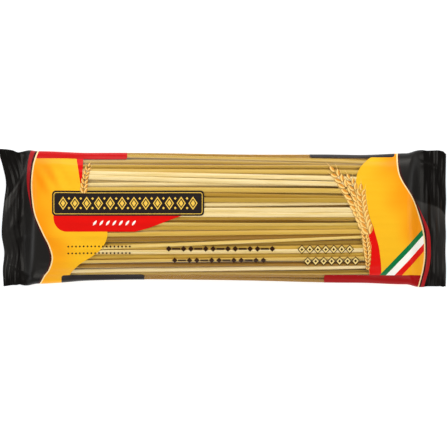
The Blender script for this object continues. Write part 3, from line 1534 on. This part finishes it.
def corner_colours(faces, inks):
    """A colour for each corner: the ink's own, or its shade there for the two uneven inks."""
    x, s = film_flat.T
    yellow, orange = np.array(INKS["yellow"]), np.array(INKS["orange"])
    shades = {
        "yellow": mix(yellow, orange, deepening(x, s)[:, None]),
        "charcoal": haze(x, s)[:, None] + np.array(INKS["charcoal"]),
    }
    return np.array([
        shades[ink][point] if ink in shades else INKS[ink]
        for face, ink in zip(faces, inks)
        for point in face
    ])


middle_haze = haze(np.array([-130.0]), np.array([0.0]))[0]
print(f"haze in the left dark end: {middle_haze:.4f}")

# %% [markdown]
# Ink is opaque and the window isn't. One material could tell them apart, but two pieces with a
# material each are plainer, and they meet along the edges of the print. Each keeps the flat map of
# the film. The film gets its thickness last, inwards, and its rims stay sharp.

# %% Build the printed film and the clear film
FILM_THICKNESS = 0.06
RIM_ANGLE = math.radians(60)
WELD_DISTANCE = 1e-6


def add_print(mesh, faces, inks):
    """Keeps each corner's colour, and whether its ink is varnished."""
    colours = corner_colours(faces, inks)
    layer = mesh.color_attributes.new("ink", "FLOAT_COLOR", "CORNER")
    layer.data.foreach_set("color", np.hstack([colours, np.ones((len(colours), 1))]).ravel())
    gloss = [float(ink in VARNISHED) for face, ink in zip(faces, inks) for _ in face]
    mesh.attributes.new("gloss", "FLOAT", "CORNER").data.foreach_set("value", gloss)


def weld_points(mesh):
    weld = bmesh.new()
    weld.from_mesh(mesh)
    bmesh.ops.remove_doubles(weld, verts=weld.verts, dist=WELD_DISTANCE)
    weld.to_mesh(mesh)
    weld.free()


def film_object(name, printed, material):
    """The printed or the clear faces of the wrapped film as one object, with the film's thickness."""
    chosen = [i for i, ink in enumerate(film_parts["inks"]) if (ink is not None) == printed]
    faces = [film_parts["faces"][i] for i in chosen]
    corners = [point for face in faces for point in face]
    used, own_corners = np.unique(corners, return_inverse=True)
    starts = np.cumsum([0] + [len(face) for face in faces])
    own_faces = [own_corners[a:b].tolist() for a, b in zip(starts, starts[1:])]
    mesh = bpy.data.meshes.new(name)
    mesh.from_pydata((film_places[used] * MM).tolist(), [], own_faces)
    mesh.uv_layers.new(name="OFBake").data.foreach_set("uv", film_map[corners].ravel())
    if printed:
        add_print(mesh, faces, [film_parts["inks"][i] for i in chosen])
    mesh.polygons.foreach_set("use_smooth", [True] * len(mesh.polygons))
    mesh.materials.append(material)
    weld_points(mesh)
    piece = new_object(name, mesh)
    thickness = piece.modifiers.new("film_thickness", "SOLIDIFY")
    thickness.thickness = FILM_THICKNESS * MM
    thickness.offset = -1.0
    evaluated = piece.evaluated_get(bpy.context.evaluated_depsgraph_get())
    thick_mesh = bpy.data.meshes.new_from_object(evaluated)
    thick_mesh.set_sharp_from_angle(angle=RIM_ANGLE)
    piece.modifiers.clear()
    piece.data = thick_mesh
    return piece


# %% [markdown]
# Printed film is glossy plastic over flat ink, and the varnished inks are a little glossier. The
# finest crinkles are too small to model, so a faint bump stands in for them. The window could be
# glass, but film this thin doesn't bend light. So most light goes straight through it, and its two
# faces give back a small share as a soft mirror image of the boxes.

# %% Film materials
PLAIN_SHEEN, VARNISHED_SHEEN = 0.1, 0.17
CRINKLE_SCALE = 160.0
MIRROR_SHARE = 0.012


def printed_film_material():
    material, shader = new_material("printed_film", Roughness=0.3)
    tree = material.node_tree
    ink = read_attribute(tree, "ink")
    tree.links.new(ink.outputs["Color"], shader.inputs["Base Color"])
    sheen = add_node(tree, "ShaderNodeMapRange", To_Min=PLAIN_SHEEN, To_Max=VARNISHED_SHEEN)
    tree.links.new(read_attribute(tree, "gloss").outputs["Fac"], sheen.inputs["Value"])
    tree.links.new(sheen.outputs["Result"], shader.inputs["Specular IOR Level"])
    place = tree.nodes.new("ShaderNodeTexCoord")
    crinkle = add_node(tree, "ShaderNodeTexNoise", Scale=CRINKLE_SCALE, Detail=3.0, Roughness=0.5)
    tree.links.new(place.outputs["Object"], crinkle.inputs["Vector"])
    add_bump(tree, shader, crinkle.outputs["Fac"], 0.15, 0.0004)
    return material


def clear_film_material():
    material, shader = new_material("clear_film", Base_Color=(1.0, 1.0, 1.0, 1.0), Roughness=0.27)
    shader.inputs["Metallic"].default_value = 1.0
    shader.inputs["Alpha"].default_value = MIRROR_SHARE
    return material


printed_film = film_object("printed_film", printed=True, material=printed_film_material())
window_film = film_object("window_film", printed=False, material=clear_film_material())
for piece in (printed_film, window_film):
    print(piece.name, len(piece.data.polygons), "faces")

# %% [markdown]
# ## Hand over
# Every piece rides on the packet's one body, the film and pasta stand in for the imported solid, and
# the sizes of both models are written down so that they can be compared.

# %% Join the pieces to the frame
for piece, slot in ((printed_film, "printed_film"), (window_film, "clear_film"), (linguine, "dry_pasta")):
    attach(piece, "root")
    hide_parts("packet")
